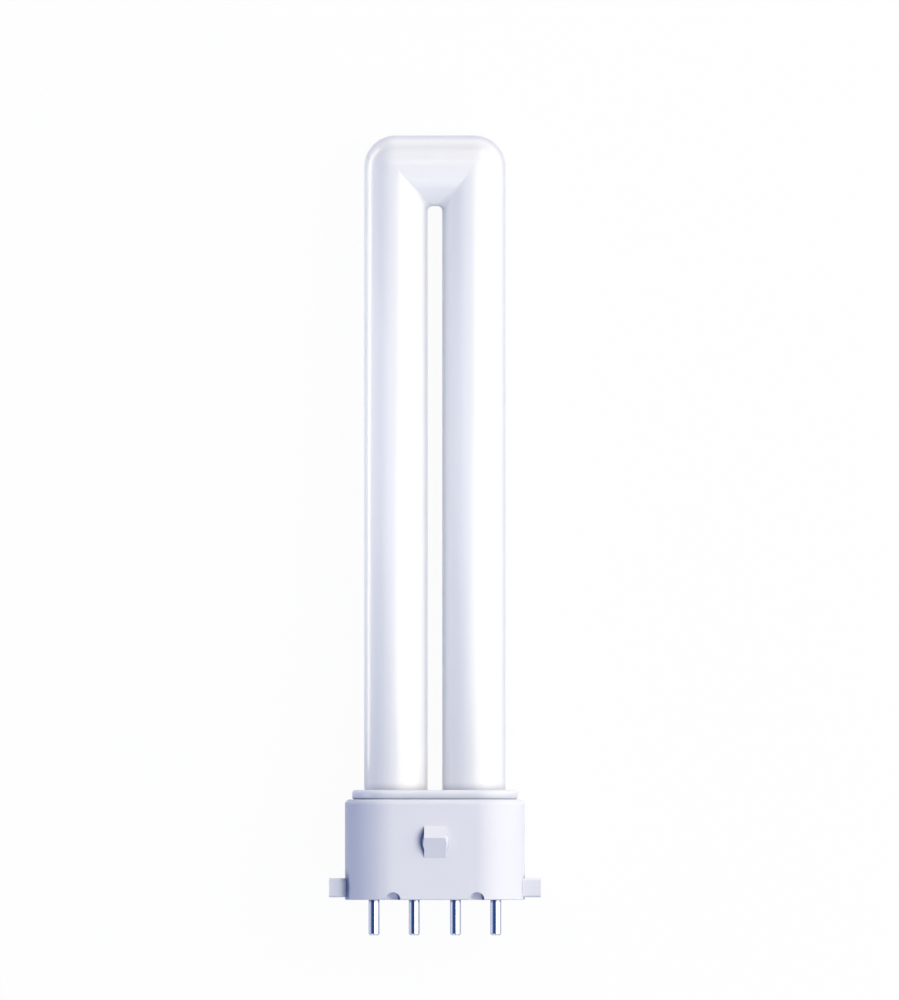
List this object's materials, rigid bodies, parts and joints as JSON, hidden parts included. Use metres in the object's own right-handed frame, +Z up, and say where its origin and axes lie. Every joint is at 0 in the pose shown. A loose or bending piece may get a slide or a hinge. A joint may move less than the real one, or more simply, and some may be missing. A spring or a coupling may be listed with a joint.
{
  "type": "u shaped fluorescent bulb",
  "caption": "Compact fluorescent bulb: a white glass tube bent into a square U, cemented in an oval plastic plug cap with side lugs, snap catches and a row of contact pins.",
  "frame": {"origin": "on the floor, under the middle of the bulb as it lies on its back", "axes": "+Z up out of the bulb's front face, +Y from the pins to the bend of the glass, +X to the right with the pins at the bottom; the bulb's own axis dips 2.08 degrees towards the glass end"},
  "size_m": [0.04, 0.1512, 0.0212],
  "materials": {
    "coated_glass": "clear glossy glass over an opaque white phosphor coating",
    "holder_plastic": "satin moulded plastic, pale bluish white",
    "cap_plastic": "satin moulded plastic, pale bluish white",
    "pin_metal": "bright nickel plating on turned brass",
    "wire_metal": "drawn nickel-iron wire",
    "cement": "matt white basing cement"
  },
  "bodies": {
    "root": {"discharge_tube": "coated_glass", "tube_holder": "holder_plastic", "base_housing": "cap_plastic", "socket_cement_left": "cement", "socket_cement_right": "cement", "contact_pin_1": "pin_metal", "contact_pin_2": "pin_metal", "contact_pin_3": "pin_metal", "contact_pin_4": "pin_metal", "lead_wire_1": "wire_metal", "lead_wire_2": "wire_metal", "lead_wire_3": "wire_metal", "lead_wire_4": "wire_metal"}
  },
  "joints": []
}
